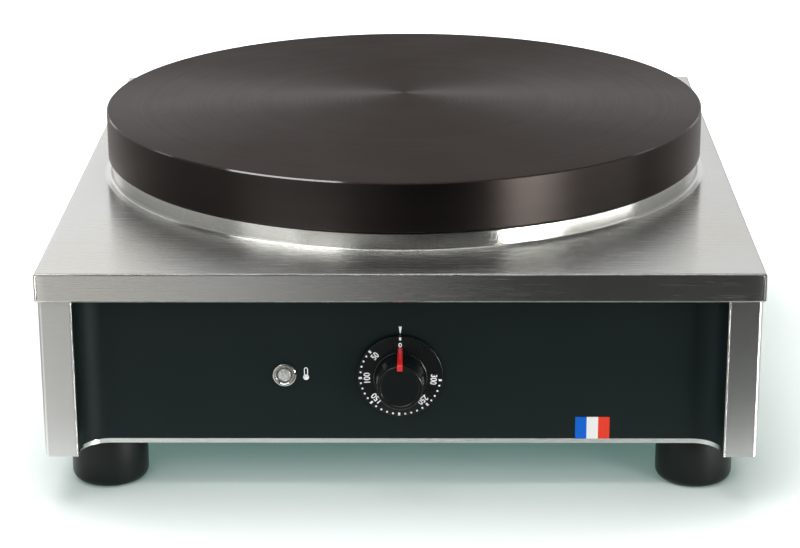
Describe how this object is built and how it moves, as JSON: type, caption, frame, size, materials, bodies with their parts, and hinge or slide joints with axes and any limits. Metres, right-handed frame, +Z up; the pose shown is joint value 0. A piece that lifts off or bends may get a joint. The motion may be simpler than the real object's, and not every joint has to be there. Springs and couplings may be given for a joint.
{
  "type": "electric crepe maker",
  "caption": "Countertop electric crepe maker: round turned cast griddle on a square stainless body with a recessed black control fascia, thermostat knob, pilot lamp and rubber feet.",
  "frame": {"origin": "on the surface that the feet stand on, under the middle of the body", "axes": "+Z up through the griddle plate, -Y towards the user and the control knob, +X to the user's right"},
  "size_m": [0.433, 0.4844, 0.1927],
  "materials": {
    "cast_iron": "fine turned rings, seasoned",
    "stainless_top": "brushed left to right",
    "stainless_side": "brushed",
    "stainless_front": "brushed",
    "galvanised_sheet": "dull zinc",
    "zinc_steel": "zinc plated",
    "element_sheath": "dull oxide",
    "mineral_fibre": "soft fibre",
    "copper": "plain",
    "brass_screws": "plain",
    "fascia_black": "fine texture, satin",
    "badge": "blue, white and red stripes",
    "foot_rubber": "satin",
    "control_plastic": "moulded",
    "knob_plastic": "satin, white scale",
    "pointer_red": "gloss",
    "lamp_chrome": "bright",
    "lamp_clear": "clear",
    "gland_plastic": "moulded",
    "wire_sleeve": "silicone"
  },
  "bodies": {
    "body": {"griddle_plate": "cast_iron", "plate_studs": "zinc_steel", "plate_spacers": "zinc_steel", "plate_nuts": "zinc_steel", "front_bridge": "zinc_steel", "rear_bridge": "zinc_steel", "bridge_bolts": "zinc_steel", "base_nuts": "zinc_steel", "heating_element": "element_sheath", "element_pins": "zinc_steel", "press_plate": "zinc_steel", "insulation_blanket": "mineral_fibre", "heat_shield": "zinc_steel", "sensing_bulb": "copper", "bulb_clip": "zinc_steel", "bulb_clip_screws": "zinc_steel", "capillary_tube": "copper", "thermal_fuse": "zinc_steel", "fuse_clip": "zinc_steel", "top_pan": "stainless_top", "plate_collar": "stainless_top", "pan_nuts": "zinc_steel", "right_side_panel": "stainless_side", "left_side_panel": "stainless_side", "front_panel": "stainless_front", "fascia_film": "fascia_black", "striped_badge": "badge", "rear_panel": "stainless_front", "base_tray": "galvanised_sheet", "panel_screws": "zinc_steel", "foot_screws": "zinc_steel", "foot_front_left": "foot_rubber", "foot_front_right": "foot_rubber", "foot_rear_left": "foot_rubber", "foot_rear_right": "foot_rubber", "thermostat_body": "control_plastic", "thermostat_screws": "zinc_steel", "lamp_bezel": "lamp_chrome", "lamp_lens": "lamp_clear", "lamp_body": "control_plastic", "lamp_nut": "zinc_steel", "gland_body": "gland_plastic", "gland_cap": "gland_plastic", "gland_seal": "foot_rubber", "gland_locknut": "gland_plastic", "terminal_block": "control_plastic", "terminal_screws": "brass_screws", "earth_stud": "zinc_steel", "earth_nuts": "brass_screws", "live_wire": "wire_sleeve", "fuse_wire": "wire_sleeve", "element_wire": "wire_sleeve", "neutral_wire": "wire_sleeve", "earth_wire": "wire_sleeve", "lamp_wires": "wire_sleeve"},
    "control_knob": {"thermostat_shaft": "zinc_steel", "temperature_dial": "knob_plastic", "knob_grip": "knob_plastic", "knob_pointer": "pointer_red", "knob_clip": "zinc_steel"}
  },
  "joints": [
    {"name": "thermostat_turn", "type": "hinge", "parent": "body", "child": "control_knob", "pos_m": [0, -0.2176, 0.077], "axis": [0, 1, 0], "range_deg": [0, 265]}
  ]
}
